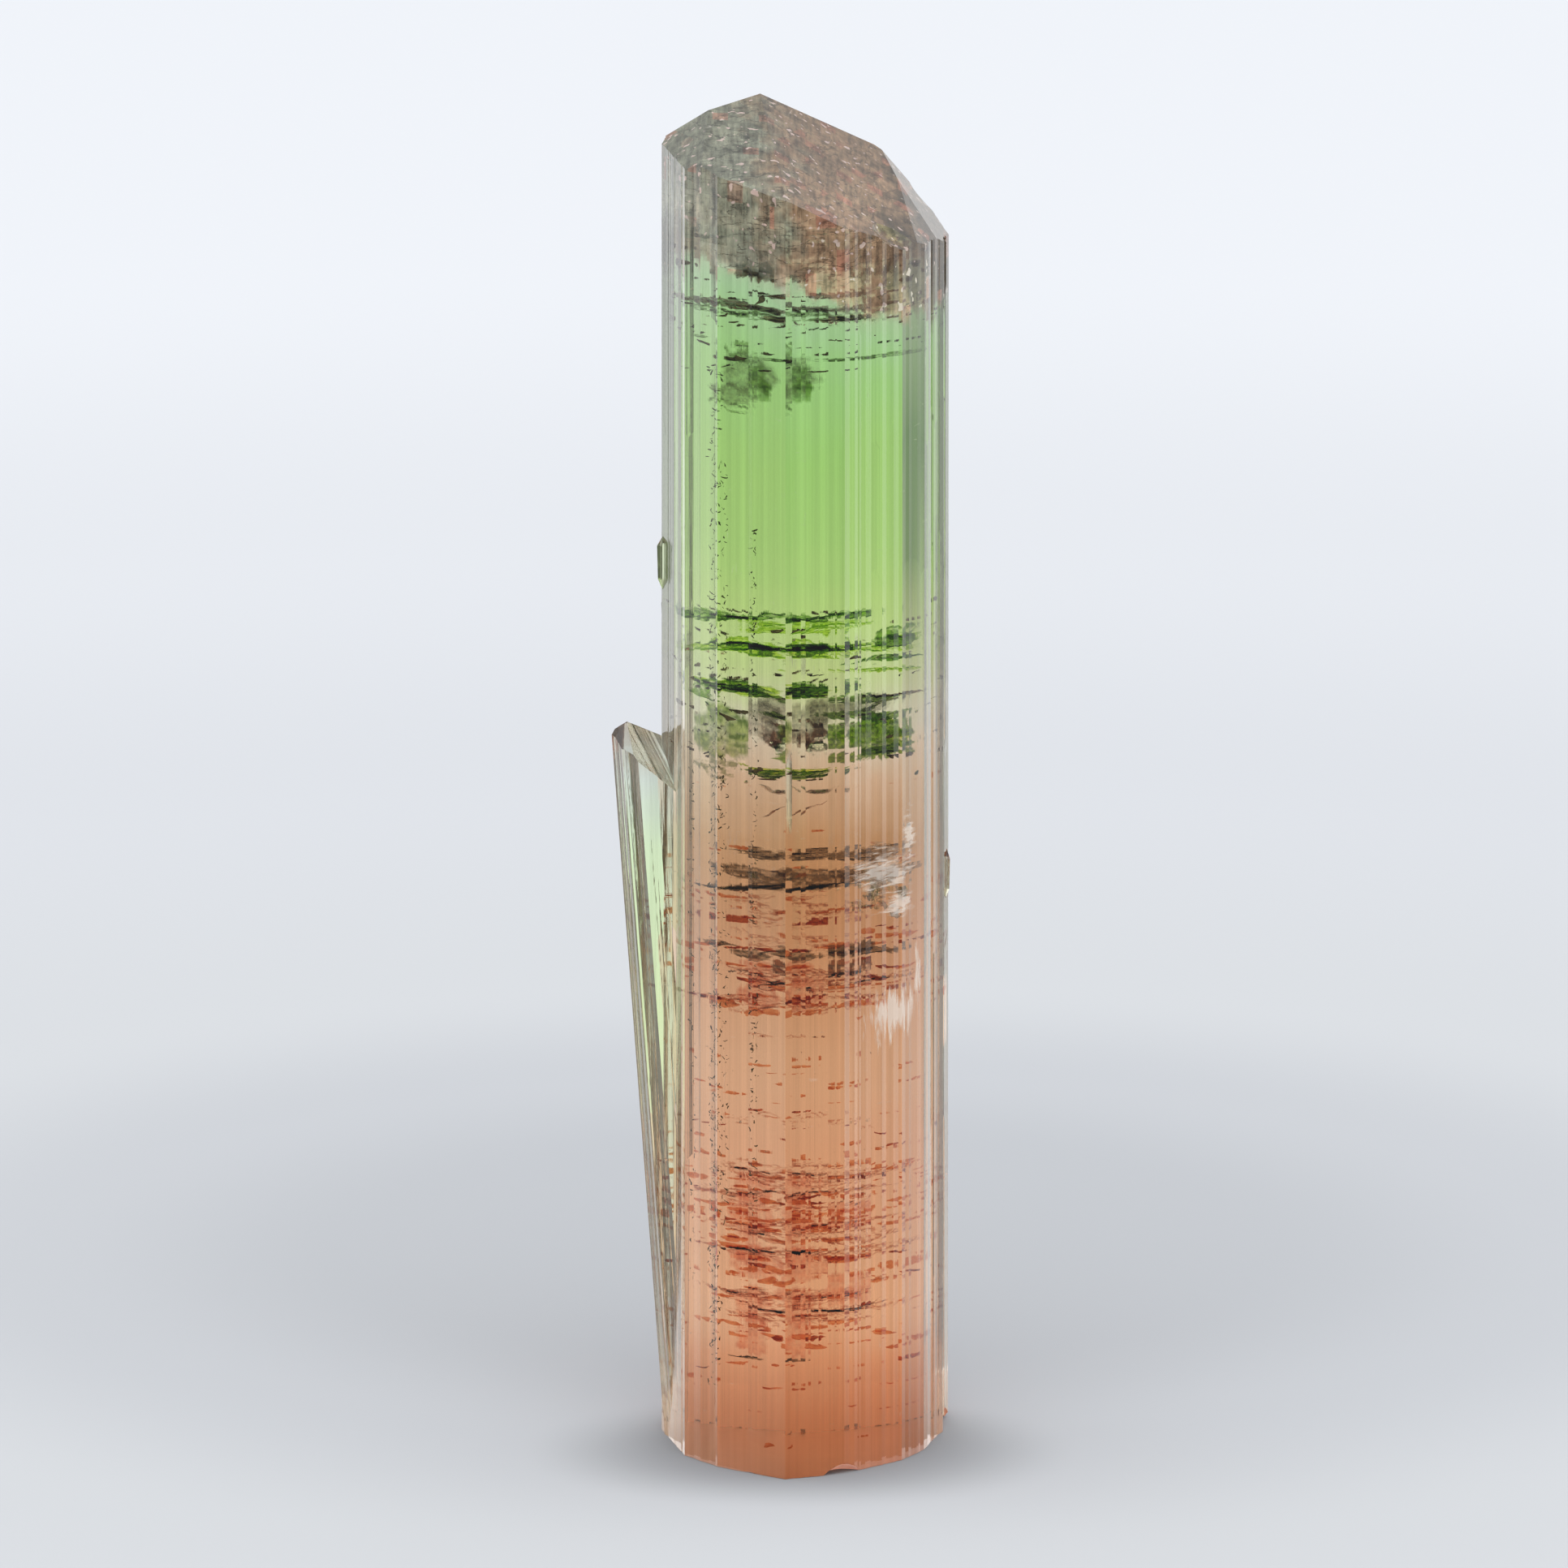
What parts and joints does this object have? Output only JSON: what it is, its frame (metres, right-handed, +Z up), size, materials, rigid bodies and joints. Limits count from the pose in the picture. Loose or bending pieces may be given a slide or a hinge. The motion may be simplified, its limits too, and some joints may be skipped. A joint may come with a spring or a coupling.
{
  "type": "bicolor tourmaline crystal",
  "caption": "Tall striated tourmaline prism, green above and salmon pink below, with an oblique faceted crown and a slender side crystal; it stands on its flat broken base.",
  "frame": {"origin": "where the main prism's long axis meets the flat broken base", "axes": "+Z up along the prism, -Y towards the viewer and the blunt front edge, +X to the viewer's right; the side crystal leans to -X"},
  "size_m": [0.02, 0.0178, 0.0798],
  "materials": {
    "tourmaline": "natural glassy crystal faces, striated along the length, green above and salmon pink below"
  },
  "bodies": {
    "root": {"tourmaline_crystal": "tourmaline"}
  },
  "joints": []
}
